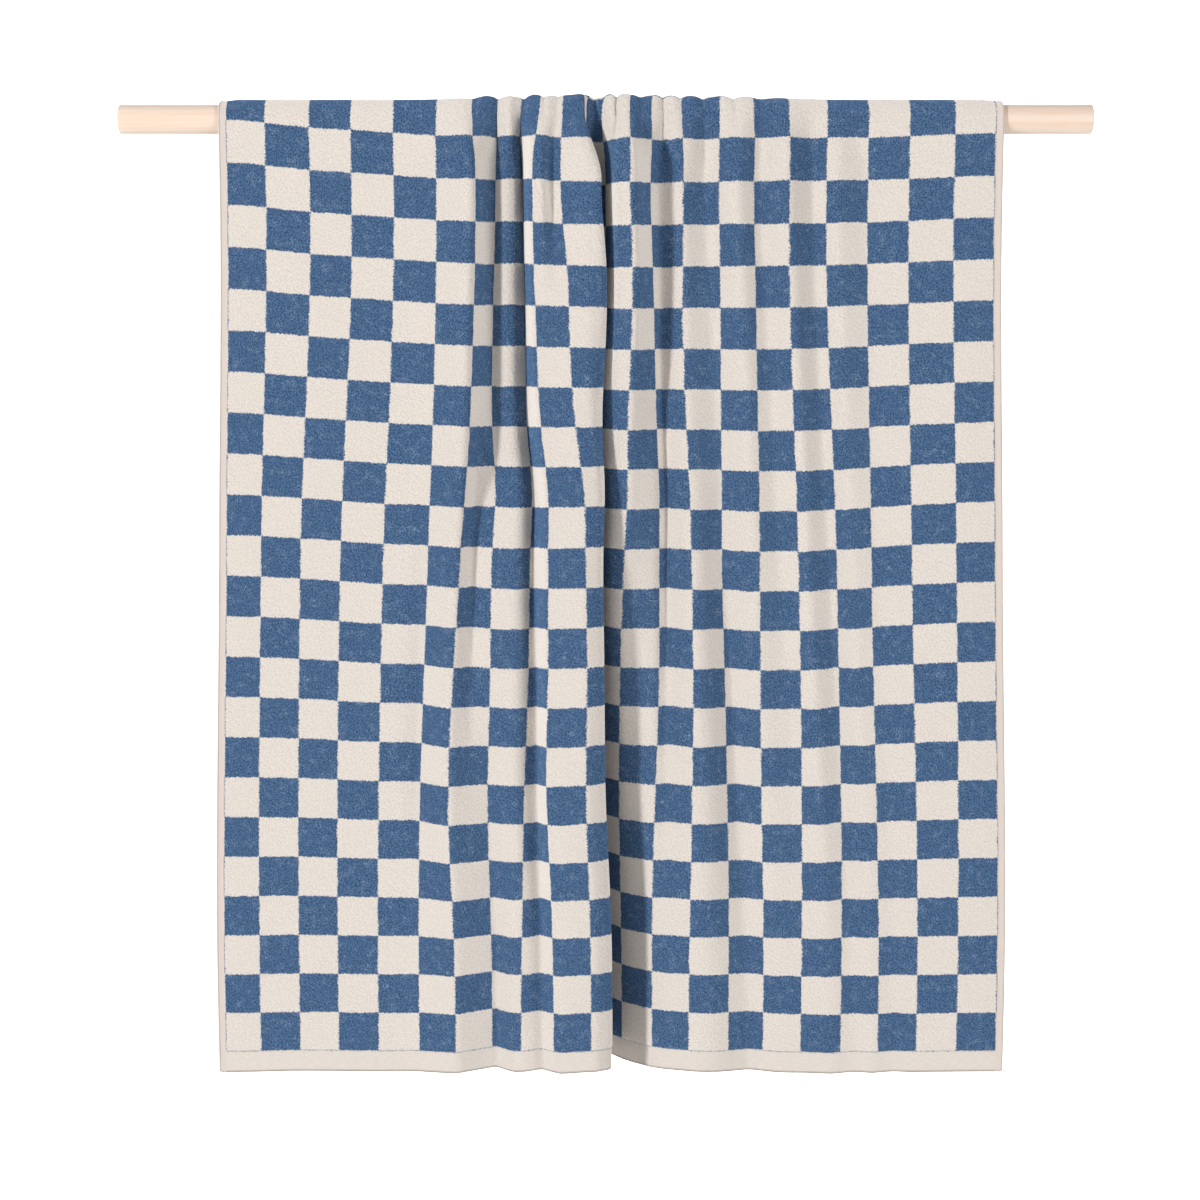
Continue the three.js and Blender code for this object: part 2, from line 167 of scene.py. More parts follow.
def curve(heights, values, below):
    """Cubic curve through values at heights, level at both ends; between two heights it is the eased mix
    of both values plus each end's slope, which is that of the chord between its neighbours."""
    heights = np.asarray(heights, float)
    values = np.asarray(values, float)
    slope = np.zeros_like(values)
    slope[..., 1:-1] = (values[..., 2:] - values[..., :-2]) / (heights[2:] - heights[:-2])
    place = np.clip(below, heights[0], heights[-1])
    low = np.clip(np.searchsorted(heights, place, side="right") - 1, 0, len(heights) - 2)
    span = heights[low + 1] - heights[low]
    share = (place - heights[low]) / span
    ends = values[..., low] * (1 - smooth(share)) + values[..., low + 1] * smooth(share)
    lift = slope[..., low] * (1 - share) - slope[..., low + 1] * share
    return ends + span * share * (1 - share) * lift


def from_table(table, side, below):
    """Reads one column of an Edge table, in metres, on the smooth curve."""
    heights = [row.below * MM for row in table]
    return curve(heights, [getattr(row, side) * MM for row in table], below)


def window(span):
    """1 inside a span, eased up from 0 at its start and down to 0 at its end, at every fine step."""
    return smooth((CHECKS - span.start) / span.ease_in) * smooth((span.end - CHECKS) / span.ease_out)


print(f"right edge {from_table(RIGHT_EDGE, 'front', 0.3) / MM:.0f} mm out, 300 mm below the rod")

# %% [markdown]
# Now the level cuts. The heading at each half millimetre across the cloth is eased from wall to wall.
# Its cosine, added up, gives the place along the rod, and its sine how far the cloth stands out. All
# heights are worked out together: one row of the array is one level cut.

# %% Level cuts through the cloth
SLIP_LIMIT = 1.05
ROW_SPACING = 100
TINY = 1e-9


def headings(side, below):
    """Heading in radians for every height (rows) and every step across (columns): constant on a wall,
    eased between the end of one wall and the start of the next. Slips grow evenly from the first height to
    a little below the last. All rows are searched at once: each is moved along by more checks than the
    cloth has, so that they lie end to end in one rising line."""
    walls, heights = FALLS[side]
    down = np.clip((below - heights[0]) / (heights[-1] - heights[0]), 0, SLIP_LIMIT)
    bends = np.array([[wall.start, wall.end] for wall in walls]).ravel()
    slips = np.repeat([wall.slip for wall in walls], 2)
    places = bends[None, :] + slips[None, :] * down[:, None]
    turns = np.repeat(curve(heights, [wall.turn for wall in walls], below).T, 2, axis=1)
    apart = ROW_SPACING * np.arange(len(below))[:, None]
    middles = (CHECKS[:-1] + CHECKS[1:]) / 2
    lined_up = (places + apart).ravel()
    asked = (middles[None, :] + apart).ravel()
    low = np.clip(np.searchsorted(lined_up, asked, side="right") - 1, 0, lined_up.size - 2)
    gap = np.maximum(lined_up[low + 1] - lined_up[low], TINY)
    share = smooth((asked - lined_up[low]) / gap)
    flat = turns.ravel()
    turned = flat[low] * (1 - share) + flat[low + 1] * share
    return np.radians(turned.reshape(len(below), -1))


def level_cuts(side, below):
    """Place along the rod and distance out for every height and step: running sums of the heading's cosine
    and sine. What the right edge is off by, in both, is then shared out with an eased ramp over the
    gathered part, and that part stands out from the rod as its table says."""
    turned = headings(side, below)
    start = np.zeros((len(below), 1))
    x = np.hstack([start, np.cumsum(FINE_STEP * np.cos(turned), axis=1)])
    x += from_table(LEFT_EDGE, side, below)[:, None]
    out = np.hstack([start, np.cumsum(FINE_STEP * np.sin(turned), axis=1)])
    ramp = smooth((CHECKS - GATHERED.start) / (GATHERED.end - GATHERED.start))
    widen = from_table(RIGHT_EDGE, side, below) - x[:, -1]
    stand = from_table(STAND_OFF, side, below)
    out += stand[:, None] * window(GATHERED) - out[:, -1:] * ramp
    x += widen[:, None] * ramp
    return x, out


high_x, high_out = level_cuts("front", FRONT_HEIGHTS[:1])
print(f"the highest cut stands out from {high_out.min() / MM:.0f} to {high_out.max() / MM:.0f} mm")

# %% [markdown]
# The pinch has pulled the middle of the towel forward over the rod by up to 17 mm, which makes the rows of
# squares sag under the gathers. The table says how far, in millimetres, at places across the cloth in checks
# and at three distances down the front fall. The back fall has slid as far as the line over the rod has.

# %% How far the cloth has slid over the rod
Sag = namedtuple("Sag", "place top middle hem")
SAG_REACH = np.array([20, 340, 690]) * MM
SAGS = [
    Sag(0, 1, -1.5, 0.5),
    Sag(2, 6, 0.8, -0.5),
    Sag(4, 9.5, 4.5, 0),
    Sag(6, 13.5, 4.8, -1),
    Sag(8, 12.5, 6.5, -2),
    Sag(10, 16, 3, -6),
    Sag(12.5, 17, 4, -1),
    Sag(14, 17, 6.2, 0.5),
    Sag(16, 15.5, 7, -1),
    Sag(18, 14.5, 9.5, 1.5),
    Sag(20, 13.5, 8.8, 1.5),
    Sag(22, 12, 5, 0.5),
    Sag(24, 10, 3, 0),
]


def read_both_ways(rows, reach, asked, along):
    """Metres from a table whose columns top, middle and hem are in millimetres: each column is read across
    the cloth on the smooth curve, and then the three results down it, at the distances in reach."""
    across = [row.place for row in rows]
    names = ("top", "middle", "hem")
    columns = [curve(across, [getattr(row, name) for row in rows], asked) for name in names]
    return curve(reach, np.stack(columns, axis=-1) * MM, along).T


def slide(along):
    """How far the cloth has slid forward at each distance along it and each fine step across."""
    return read_both_ways(SAGS, SAG_REACH, CHECKS, np.maximum(along, 0))


print(f"most slide {slide(SAG_REACH).max() / MM:.1f} mm")

# %% [markdown]
# Over the rod the pinched cloth can't keep its deep folds. There the highest cut is evened out, so that no
# layer runs into the next. Small gathers stand up instead: upright ridges and furrows, each with its place
# along the rod, height, half width and length down the fall, all in millimetres. They are set one by one,
# because evenly spaced ripples would look like a spring.

# %% Gathers over the rod
APEX_SHARE = 0.05
APEX_SMOOTHING = 22 * MM
PINCHED = Span(5.2, 19.5, 2, 3)
PINCH_RISE = 1.5 * MM
PINCH_FADE = 60 * MM
Gather = namedtuple("Gather", "x height width reach")
GATHERS = [
    Gather(-94, -1.4, 3.6, 60),
    Gather(-83, 1.2, 4.5, 55),
    Gather(-75, -1.7, 2.2, 60),
    Gather(-67, 1.2, 4.0, 55),
    Gather(-57, -2.6, 2.0, 95),
    Gather(-50, 1.3, 3.4, 60),
    Gather(-43, -1.6, 1.8, 80),
    Gather(-33, -1.2, 2.6, 50),
    Gather(-18, 0.8, 6.0, 60),
    Gather(-8, -2.0, 2.0, 75),
    Gather(-3, -1.0, 1.6, 40),
    Gather(2.5, 1.9, 3.6, 70),
    Gather(7.5, -1.8, 1.8, 50),
    Gather(13, 1.3, 3.4, 55),
    Gather(24, -1.8, 3.0, 55),
    Gather(34, 1.0, 4.0, 50),
    Gather(39.5, -1.5, 1.8, 45),
    Gather(45.5, 1.0, 3.2, 50),
    Gather(52, -1.6, 2.0, 50),
    Gather(59, 1.1, 4.0, 55),
    Gather(67.5, -1.9, 2.4, 60),
    Gather(79.5, 0.9, 5.0, 60),
    Gather(89, -1.6, 2.8, 55),
    Gather(97.5, 0.7, 4.5, 55),
    Gather(108, -1.3, 3.2, 50),
    Gather(121.5, 0.5, 6.0, 60),
]


def evened(values, reach):
    """Running mean over reach steps to each side, narrower near both ends so that they stay in place."""
    sums = np.concatenate([[0], np.cumsum(values)])
    index = np.arange(len(values))
    width = np.minimum(reach, np.minimum(index, len(values) - 1 - index))
    return (sums[index + width + 1] - sums[index - width]) / (2 * width + 1)


def apex_cut():
    """The cut over the top of the rod, from the highest level cut: its places evened out twice, and its
    depth once, of which only a small share is left."""
    reach = round(APEX_SMOOTHING / FINE_STEP)
    depth = np.maximum(evened(high_out[0], reach), 0)
    return evened(evened(high_x[0], reach), reach), depth * APEX_SHARE


def top_gathers(distance, x):
    """Small upright gathers: the pinched part rises as a whole, and each row of the table adds a bell curve
    at its place along the rod, up for a ridge and down for a furrow, but never below the flat parts. All
    fade out down the fall."""
    rise = (1 - smooth(distance / PINCH_FADE))[:, None] * window(PINCHED) * PINCH_RISE
    for row in GATHERS:
        bell = np.exp(-((x / MM - row.x) / row.width) ** 2)
        rise = rise + (1 - smooth(distance / (row.reach * MM)))[:, None] * bell * row.height * MM
    return np.maximum(rise, 0)


top_x, top_out = apex_cut()
print(len(GATHERS), "gathers on a top line", f"{(top_x[-1] - top_x[0]) / MM:.0f} mm long")

# %% [markdown]
# A point of the cloth now needs its place in space. Far from the rod the folds have their full depth, and
# towards the top they flatten. What counts is the path from the top of the rod, on whichever side of it the
# point has come to lie, so that the cloth which slid forward takes the depth of the front.

# %% Points and normals of the cloth
DEPTH_REACH = 46 * MM
NORMAL_NUDGE = 0.5 * MM


def cloth_rows(along, side):
    """Points on the cloth's middle layer for each distance along one fall (rows) and each step across. The
    path from the top of the rod runs round a quarter circle and then straight down. A point's distance from
    the axis is the circle's radius, the depth of its fold and the gathers, added up. The depth grows along
    the path from that of the evened cut to the fold's own, which beyond the top is the other side's."""
    sign = 1 if side == "front" else -1
    distance = np.abs(along)
    below = np.maximum(distance - WRAP_LENGTH, FRONT_HEIGHTS[0])
    x, out = level_cuts(side, below)
    path = sign * (along[:, None] + slide(along))
    own = np.where(path < 0, high_out, out)
    lift = smooth(np.abs(path) / DEPTH_REACH)
    out = top_out * (1 - lift) + np.where(lift < 1, np.maximum(own, 0), own) * lift
    share = smooth(distance / DEPTH_REACH)[:, None]
    x = top_x * (1 - share) + x * share
    reach = WRAP_RADIUS + out + top_gathers(distance, x)
    angle = np.clip(path / WRAP_RADIUS, None, np.pi / 2)
    forward = reach * np.sin(angle)
    up = np.where(path < WRAP_LENGTH, reach * np.cos(angle), WRAP_LENGTH - path)
    return np.stack([x, -sign * forward, up], axis=-1)


def cloth_points(along):
    """Points for distances along the whole cloth, front fall positive and back fall negative."""
    front = along >= 0
    points = np.empty((len(along), len(PLACES), 3))
    points[front] = cloth_rows(along[front], "front")
    points[~front] = cloth_rows(along[~front], "back")
    return points


def cloth_normals(along):
    """Unit normals that point away from the rod: the cross product of a short step down the cloth, taken
    upwards and turned round at the front hem, and the step across."""
    inward = np.where(along + NORMAL_NUDGE > FRONT_DROP, -NORMAL_NUDGE, NORMAL_NUDGE)
    lower = cloth_points(along + inward)
    upper = cloth_points(along)
    down = (lower - upper) * np.sign(inward)[:, None, None]
    across = np.gradient(upper, axis=1)
    normals = np.cross(down, across)
    return normals / np.linalg.norm(normals, axis=-1, keepdims=True)


crown = cloth_rows(np.zeros(1), "front")[0]
print(f"the line over the rod rises from {crown[:, 2].min() / MM:.1f} to {crown[:, 2].max() / MM:.1f} mm")

# %% [markdown]
# Terry has loops on both faces. Where the loops stop, at the hems, the cloth is thinner: the end hems are
# flat woven and the side hems are narrow and sewn down. A Solidify modifier would give one thickness all
# over, so the sheet's half thickness is worked out from the place on the cloth instead.

# %% Relief of pile and hems
PILE_HALF = 1.5 * MM
HEM_HALF = 0.85 * MM
PILE_EDGE = 1.0 * MM
SEAM_PLACE = 3.1 * MM
SEAM_DEPTH = 0.2 * MM
SEAM_WIDTH = 0.5 * MM


def half_thickness(places, along):
    """Half the cloth's thickness: full where there is pile, less on the hems, and less again by a bell curve
    along the side seam. The pile's share is one eased step at the sides times one at the ends."""
    from_side = np.minimum(places, TOWEL_WIDTH - places)
    from_end = np.minimum(FRONT_DROP - along, along + BACK_DROP)
    side_share = smooth((from_side - SIDE_HEM) / PILE_EDGE)[None, :]
    end_share = smooth((from_end - END_HEM) / PILE_EDGE)[:, None]
    pile = side_share * end_share
    groove = SEAM_DEPTH * np.exp(-((from_side - SEAM_PLACE) / SEAM_WIDTH) ** 2)[None, :]
    return HEM_HALF + (PILE_HALF - HEM_HALF) * pile - groove * (1 - pile)


print(f"the cloth is {2 * PILE_HALF / MM:.1f} mm thick, and {2 * HEM_HALF / MM:.1f} mm at its hems")

# %% [markdown]
# The mesh is a grid, denser where the cloth bends more. Runs give the number of equal steps up to a place,
# in checks for columns and in millimetres for rows. At the hems the places are listed one by one, so that
# the grid has a line wherever the thickness changes.

# %% Where the grid has its lines
Run = namedtuple("Run", "to steps")
COLUMN_RUNS = [
    Run(4.4, 18),
    Run(6.0, 14),
    Run(10.0, 58),
    Run(13.2, 46),
    Run(16.0, 34),
    Run(21.6, 62),
    Run(24, 8),
]
SIDE_PLACES = np.array([0.0, 0.9, 2.5, 3.1, 3.7, 4.7]) * MM
FRONT_RUNS = [Run(30, 20), Run(80, 14), Run(688, 60)]
BACK_RUNS = [Run(30, 16), Run(80, 8), Run(680, 44)]
END_PLACES = np.array([0.0, 0.8, 4.5, 11.0, 14.6, 15.3, 16.0]) * MM


def spaced(runs, scale):
    """Places in equal steps within each run, from 0 to the last run's end."""
    places = [0.0]
    for run in runs:
        places.extend(np.linspace(places[-1], run.to * scale, run.steps + 1)[1:])
    return np.array(places)


def columns_of_grid():
    """Fine steps at which the mesh has a column: side hems, then the runs between them."""
    inner = SIDE_HEM + spaced(COLUMN_RUNS, CHECK_WIDTH)
    places = np.concatenate([SIDE_PLACES, inner, TOWEL_WIDTH - SIDE_PLACES[::-1]])
    return np.unique(np.round(places / FINE_STEP).astype(int))


def rows_of_grid():
    """Distances along the cloth at which the mesh has a row, from the back hem to the front hem."""
    front = np.concatenate([spaced(FRONT_RUNS, MM)[1:], FRONT_DROP - END_PLACES[::-1]])
    back = np.concatenate([spaced(BACK_RUNS, MM)[1:], BACK_DROP - END_PLACES[::-1]])
    return np.concatenate([-back[::-1], [0.0], front])


grid_columns = columns_of_grid()
grid_rows = rows_of_grid()
print(len(grid_columns), "columns and", len(grid_rows), "rows")

# %% [markdown]
# A photograph or a painted picture could carry the checks, but it would blur in a close view. Here they are
# worked out by the material, from the place on the cloth. A UV map holds that place, counted in squares, so
# the woven pattern follows every fold, and both faces agree, as they do on the real cloth. Real squares are
# never quite equal, so a table moves their borders by a few millimetres, to the right where it is positive.

# %% The place of each point in the pattern
Shift = namedtuple("Shift", "place top middle hem")
SHIFT_REACH = np.array([90, 340, 650]) * MM
SHIFTS = [
    Shift(0, 0, 0, 0),
    Shift(1, -2, -5, -3.5),
    Shift(2, 0, -5, -3),
    Shift(3, 0, -5.5, -3.5),
    Shift(4, 0.7, -3.5, -3),
    Shift(5, 3, 2, -1.5),
    Shift(6, 4.5, 0, -3),
    Shift(7, 1, 0.7, -3),
    Shift(8, 2.5, 0, -5),
    Shift(9, 4, 3, -3),
    Shift(10, -0.7, 1.5, -3.5),
    Shift(14, 3, 4, -2),
    Shift(15, -2, 1.5, -1.5),
    Shift(16, -2.5, 2.5, -1.5),
    Shift(17, -1, -0.7, 0),
    Shift(18, -4, -1.5, 0),
    Shift(19, -4.5, 0, -0.7),
    Shift(20, -3, 2, 0),
    Shift(21, -2, -2, -0.7),
    Shift(22, -2, -1.5, -0.7),
    Shift(23, 0.7, 1.4, 0),
    Shift(24, 0, 0, 0),
]


def weave_place(places, along):
    """Where each place lies in the pattern, in squares: across from the left side hem, up from the front
    hem. The place across is the even one less the shift."""
    asked = (places - SIDE_HEM) / CHECK_WIDTH
    shift = read_both_ways(SHIFTS, SHIFT_REACH, asked, along)
    across = asked[None, :] - shift / CHECK_WIDTH
    up = (FRONT_DROP - END_HEM - along) / CHECK_LENGTH
    return np.broadcast_arrays(across, up[:, None])


weave = weave_place(PLACES[grid_columns], grid_rows)
print(f"the pattern runs from {weave[1].min():.1f} to {weave[1].max():.1f} squares above the front hem")

# %% [markdown]
# One grid of points makes both faces: each point moves along its normal by half the thickness, outwards for
# one face and inwards for the other. A line of points a little beyond the edge joins the faces all round, so
# that they are one closed shell with a rounded rim.

# %% Build a closed sheet
def add_mesh(name, points, faces, weave=None):
    """Makes a smooth-shaded object of points and faces, with its UV map if places in the weave are given."""
    mesh = bpy.data.meshes.new(name)
    mesh.from_pydata(points, [], faces)
    mesh.shade_smooth()
    if weave is not None:
        corners = np.empty(len(mesh.loops), np.int32)
        mesh.loops.foreach_get("vertex_index", corners)
        layer = mesh.uv_layers.new(name="weave")
        layer.uv.foreach_set("vector", weave[corners].astype(np.float32).ravel())
    piece = bpy.data.objects.new(name, mesh)
    bpy.context.scene.collection.objects.link(piece)
    return piece


def strip(first, second):
    """Quads between two equally long lines of vertex numbers."""
    return np.stack([first[:-1], second[:-1], second[1:], first[1:]], axis=-1).reshape(-1, 4)


def closed_sheet(name, middle, normals, half, weave):
    """Two faces at plus and minus half the thickness. The rim joins them by way of an edge line, which lies
    half the thickness beyond the outermost points, in the direction from their neighbours inside."""
    rows, columns = half.shape
    outer = middle + normals * half[..., None]
    inner = middle - normals * half[..., None]
    first = np.arange(rows * columns).reshape(rows, columns)
    rim = np.concatenate([first[:, 0], first[-1, 1:], first[-2::-1, -1], first[0, -2:0:-1]])
    inside = np.concatenate([first[:, 1], first[-2, 1:], first[-2::-1, -2], first[1, -2:0:-1]])
    flat = middle.reshape(-1, 3)
    away = flat[rim] - flat[inside]
    away /= np.maximum(np.linalg.norm(away, axis=1, keepdims=True), TINY)
    edge = flat[rim] + away * half.ravel()[rim][:, None]
    start = 2 * rows * columns
    edge_index = np.append(np.arange(start, start + len(rim)), start)
    rim = np.append(rim, rim[0])
    corners = [first[:-1, :-1], first[1:, :-1], first[1:, 1:], first[:-1, 1:]]
    grid = np.stack(corners, axis=-1).reshape(-1, 4)
    faces = np.concatenate([
        grid,
        (grid + rows * columns)[:, ::-1],
        strip(rim, edge_index)[:, ::-1],
        strip(edge_index, rim + rows * columns)[:, ::-1],
    ])
    points = np.concatenate([outer.reshape(-1, 3), inner.reshape(-1, 3), edge])
    place = np.stack(weave, axis=-1).reshape(-1, 2)
    return add_mesh(name, points, faces, np.concatenate([place, place, place[rim[:-1]]]))


middle = cloth_points(grid_rows)[:, grid_columns]
normals = cloth_normals(grid_rows)[:, grid_columns]
half = half_thickness(PLACES[grid_columns], grid_rows)
towel = closed_sheet("towel_cloth", middle, normals, half, weave)
triangles = len(towel.data.loops) - 2 * len(towel.data.polygons)
print("towel", len(towel.data.vertices), "points", triangles, "triangles")

# %% [markdown]
# The rod is a turned dowel with sawn ends. A profile carried round its axis gives it the slight softening
# of a sanded edge, which a plain cylinder lacks.

# %% The rod
ROD_SIDES = 96
ROD_STATIONS = 61
EDGE_SOFTENING = 0.5 * MM
EDGE_STATIONS = 5


def turned_rod():
    """A profile of radius against place along the axis, carried round it. Each rim is a quarter circle, and
    both ends close on a point."""
    half_length = ROD_LENGTH / 2
    bend = np.linspace(0, np.pi / 2, EDGE_STATIONS)
    soft_x = half_length - EDGE_SOFTENING * (1 - np.sin(bend[::-1]))
    soft_r = ROD_RADIUS - EDGE_SOFTENING * (1 - np.cos(bend[::-1]))
    straight = half_length - EDGE_SOFTENING
    body_x = np.linspace(-straight, straight, ROD_STATIONS)[1:-1]
    body_r = np.full(len(body_x), ROD_RADIUS)
    cap_r = [ROD_RADIUS / 2]
    rings_x = np.concatenate([[-half_length], -soft_x, body_x, soft_x[::-1], [half_length]])
    rings_r = np.concatenate([cap_r, soft_r, body_r, soft_r[::-1], cap_r])
    around = np.linspace(0, 2 * np.pi, ROD_SIDES, endpoint=False)
    x = np.repeat(rings_x[:, None], ROD_SIDES, axis=1)
    ring = np.stack([x, rings_r[:, None] * np.cos(around), rings_r[:, None] * np.sin(around)], axis=-1)
    points = np.concatenate([ring.reshape(-1, 3), [[-half_length, 0, 0], [half_length, 0, 0]]])
    index = np.arange(ring.shape[0] * ROD_SIDES).reshape(-1, ROD_SIDES)
    after = np.roll(index, -1, axis=1)
    sides = np.stack([index[:-1], index[1:], after[1:], after[:-1]], axis=-1).reshape(-1, 4)[:, ::-1]
    left = np.full(ROD_SIDES, len(points) - 2)
    right = np.full(ROD_SIDES, len(points) - 1)
    left_cap = np.stack([left, after[0], index[0]], axis=-1)
    right_cap = np.stack([right, index[-1], after[-1]], axis=-1)
    return add_mesh("rod_wood", points, sides.tolist() + left_cap.tolist() + right_cap.tolist())


rod = turned_rod()
print("rod", len(rod.data.polygons), "faces")

# %% [markdown]
# The finishes are worked out with shader nodes, which stay sharp at any distance. Wiring them one by one
# hides the formula that they stand for. So one small class lets a node's output be used in ordinary Python
# arithmetic, and a pattern reads as a formula.

# %% Shader arithmetic
class Field:
    """A number that varies over a surface: an output socket that Python arithmetic works on."""

    def __init__(self, finish, socket):
        self.finish = finish
        self.socket = socket

    def math(self, operation, *others):
        """A Math node of this operation on this field and the others."""
        return self.finish.number("ShaderNodeMath", {"operation": operation}, self, *others)

    def __add__(self, other):
        return self.math("ADD", other)

    def __sub__(self, other):
        return self.math("SUBTRACT", other)

    def __mul__(self, other):
        return self.math("MULTIPLY", other)

    def __rsub__(self, other):
        return self.finish.number("ShaderNodeMath", {"operation": "SUBTRACT"}, other, self)

    __radd__ = __add__
    __rmul__ = __mul__

    def sine(self):
        """The sine of this field, in radians."""
        return self.math("SINE")

    def held(self, low=0.0, high=1.0):
        """This field kept between low and high."""
        return self.math("MAXIMUM", low).math("MINIMUM", high)

    def eased(self, low, high):
        """0 below low, 1 above high, and an eased step between."""
        settings = {"interpolation_type": "SMOOTHSTEP"}
        return self.finish.number("ShaderNodeMapRange", settings, Value=self, From_Min=low, From_Max=high)


print("fields can be added, subtracted, multiplied, held and eased")

# %% [markdown]
# Another class builds a material. Its one method for nodes sets the node's own settings first, because they
# can change which sockets the node has, and then the values or links of the sockets.

# %% A material and its nodes
class Finish:
    """A material under construction, with one method that adds any node."""

    def __init__(self, name):
        self.material = bpy.data.materials.new(name)
        self.material.use_nodes = True
        self.tree = self.material.node_tree
        self.tree.nodes.clear()

    def node(self, kind, settings=None, *values, **named):
        """Adds a node of a kind: settings first, then sockets by order or by name, as values or links."""
        node = self.tree.nodes.new(kind)
        for key, value in (settings or {}).items():
            setattr(node, key, value)
        for index, value in enumerate(values):
            self.feed(node.inputs[index], value)
        for key, value in named.items():
            self.feed(node.inputs[key.replace("_", " ")], value)
        return node

    def feed(self, socket, value):
        """Links a field, an output or a node's first output to a socket, or sets the socket to a value."""
        if isinstance(value, Field):
            self.tree.links.new(value.socket, socket)
        elif isinstance(value, bpy.types.Node):
            self.tree.links.new(value.outputs[0], socket)
        elif isinstance(value, bpy.types.NodeSocket):
            self.tree.links.new(value, socket)
        elif isinstance(value, tuple) and len(value) == 3 and socket.type == "RGBA":
            socket.default_value = (*value, 1)
        else:
            socket.default_value = value

    def number(self, kind, settings=None, *values, **named):
        """A node whose first output is used as a number."""
        return Field(self, self.node(kind, settings, *values, **named).outputs[0])

    def noise(self, place, scale, detail=0.0, roughness=0.5, dimensions="2D"):
        """Cloudy noise from 0 to 1 around one half, at a place given by a vector. Its marks are about one
        unit of the place across at scale 1, and half that at scale 2."""
        settings = {"noise_dimensions": dimensions}
        return self.number("ShaderNodeTexNoise", settings, Vector=place, Scale=scale, Detail=detail,
                           Roughness=roughness)

    def moved(self, place, offset, stretch=(1, 1, 1), turn=0.0):
        """The same place moved, so that a second noise there is independent of the first. Stretch makes the
        noise's marks longer along axes turned by an angle in radians."""
        settings = {"vector_type": "TEXTURE"}
        mapping = self.node("ShaderNodeMapping", settings, Vector=place, Location=offset, Scale=stretch)
        self.feed(mapping.inputs["Rotation"], (0, 0, turn))
        return mapping.outputs[0]

    def mix(self, share, first, second):
        """Two colours mixed by a share."""
        node = self.node("ShaderNodeMix", {"data_type": "RGBA"})
        self.feed(node.inputs[0], share)
        self.feed(node.inputs[6], first)
        self.feed(node.inputs[7], second)
        return node.outputs[2]

    def bump(self, height, distance, strength):
        """Surface relief from a height field."""
        return self.node("ShaderNodeBump", None, Height=height, Distance=distance, Strength=strength)

    def surface(self, **named):
        """The closing shader and the material's output."""
        shader = self.node("ShaderNodeBsdfPrincipled", None, **named)
        output = self.node("ShaderNodeOutputMaterial")
        self.tree.links.new(shader.outputs[0], output.inputs["Surface"])
        return self.material


print("one method adds any node, and one closes the material")

# %% [markdown]
# Colours are given as screen colours, which are easy to compare with a picture. Shaders work in linear
# light, so each is turned into that first.

# %% Colours
def paint(red, green, blue):
    """A screen colour, 0 to 255, as the linear light that shaders use: a straight line near black, and above
    it nearly the power 2.4, as screens are made."""
    share = np.array([red, green, blue]) / 255
    linear = np.where(share > 0.04045, ((share + 0.055) / 1.055) ** 2.4, share / 12.92)
    return tuple(linear.tolist())


print("middle grey as linear light:", round(paint(128, 128, 128)[0], 3))

# %% [markdown]
# The terry's finish is blue and cream yarn in squares. Two square waves multiplied together make the checks.
# Their places are pushed about a little by noise, because pile leans over the edge of each square. Each noise
# has the size of its marks in millimetres, and two of the same size are kept apart by an offset.

# %% The squares
MM_PER_CHECK = CHECK_WIDTH / MM
TUFT_SIZE = 1.15
TUFT_LEAN = 0.052
OTHER_TUFT_OFFSET = (71.3, 12.9, 0)
DRIFT_SIZE = 8
DRIFT_LEAN = 0.03
EDGE_STEEPNESS = 26


def marks(finish, place, size, offset=None, **settings):
    """Noise over the pattern, with marks of a size in millimetres, read at an offset if one is given."""
    if offset is not None:
        place = finish.moved(place, offset)
    return finish.noise(place, MM_PER_CHECK / size, **settings)


def square_wave(place):
    """1 on even squares and -1 on odd ones: a sine with one half wave to a square, made steep and held."""
    return ((place * np.pi).sine() * EDGE_STEEPNESS).held(-1, 1)


def blue_squares(finish, place, across, up, tuft, other_tuft):
    """1 on the blue squares and 0 on the cream ones: one half less half the product of both waves. Tufts
    and a slow drift push the borders."""
    drift = marks(finish, place, DRIFT_SIZE)
    pushed_across = across + (tuft - 0.5) * TUFT_LEAN + (drift - 0.5) * DRIFT_LEAN
    pushed_up = up + (other_tuft - 0.5) * TUFT_LEAN + (drift - 0.5) * DRIFT_LEAN
    return 0.5 - square_wave(pushed_across) * square_wave(pushed_up) * 0.5


print(f"pile leans by up to {TUFT_LEAN / 2 * MM_PER_CHECK:.1f} mm over the edge of a square")

# %% [markdown]
# The yarn is uneven. Grain makes light and deep strands in both colours, which run at a slant. The blue also
# has a few short pale squiggles where the ground shows through, and painted shade: dark patches at random
# places that stand for the shade in the hollows between the loops. A squiggle is the thin line where a noise
# crosses one half, kept only where a second, slower noise is high.
# A Step holds the two values between which an effect comes in.

# %% The yarn
BLUE_DEEP = paint(60, 90, 127)
BLUE_LIGHT = paint(97, 127, 163)
# Painted shade: the darker blue that stands for the shade in the hollows between the loops.
BLUE_HOLLOW_SHADE = paint(44, 71, 106)
FLECK = paint(158, 177, 200)
CREAM_DEEP = paint(216, 208, 200)
CREAM_LIGHT = paint(232, 225, 218)
Step = namedtuple("Step", "low high")
GRAIN_SIZE = 0.8
GRAIN_OFFSET = (3.7, 44.1, 0)
GRAIN_STRETCH = (1.9, 1, 1)
GRAIN_TURN = 1.05
BLUE_GRAIN = Step(0.3, 0.7)
CREAM_GRAIN = Step(0.3, 0.62)
# Size, offset, threshold and share of the painted shade in the hollows between the loops.
HOLLOW_SHADE_SIZE = 1.0
HOLLOW_SHADE_OFFSET = (19.2, 5.8, 0)
HOLLOW_SHADE = Step(0.58, 0.74)
HOLLOW_SHADE_SHARE = 0.75
CURL_SIZE = 1.9
CURL_OFFSET = (40.6, 27.3, 0)
CURL_THINNESS = 15
BARE_SIZE = 7
BARE_OFFSET = (8.1, 63.9, 0)
BARE = Step(0.5, 0.68)
FLECK_SHARE = 0.75


